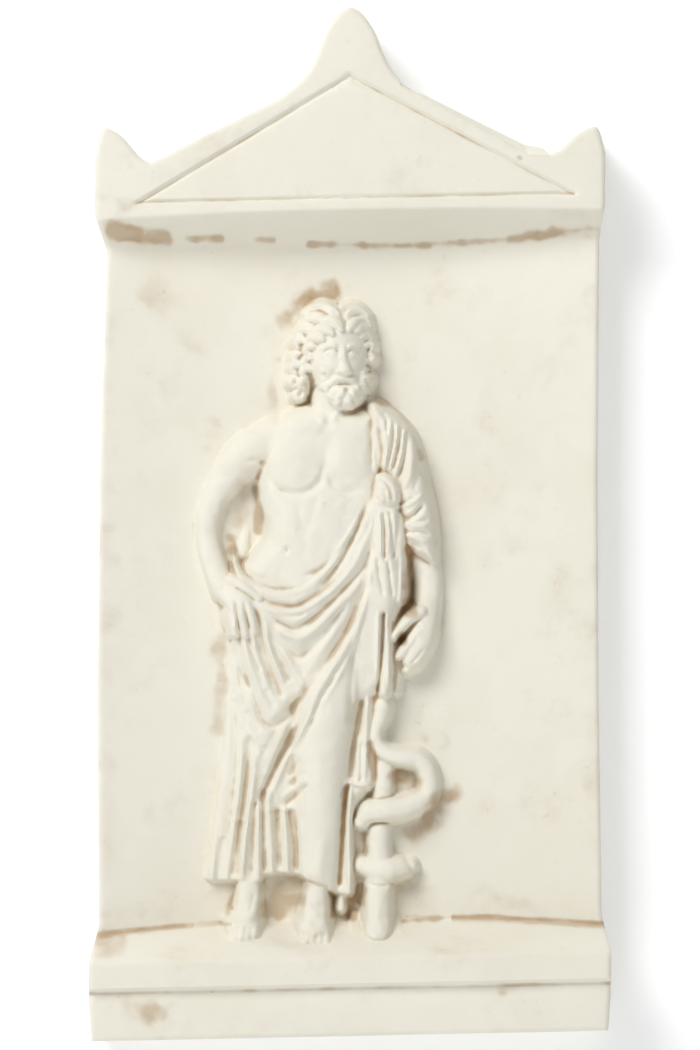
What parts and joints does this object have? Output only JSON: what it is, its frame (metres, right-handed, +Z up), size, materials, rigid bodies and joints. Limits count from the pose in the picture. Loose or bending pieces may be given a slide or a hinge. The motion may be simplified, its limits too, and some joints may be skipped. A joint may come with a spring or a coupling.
{
  "type": "plaster wall relief",
  "caption": "Cast plaster wall relief of a draped, bearded standing figure with a serpent-entwined staff, set in a pedimented shrine front with a ledge.",
  "frame": {"origin": "middle of the flat back, in the wall plane", "axes": "+X to the right as seen from the front, +Y into the wall, +Z up"},
  "size_m": [0.1488, 0.038, 0.2955],
  "materials": {
    "plaster": "matt cast gypsum plaster, creamy white, with a thin beige-brown wash left in the hollows"
  },
  "bodies": {
    "root": {"plaster_relief": "plaster"}
  },
  "joints": []
}
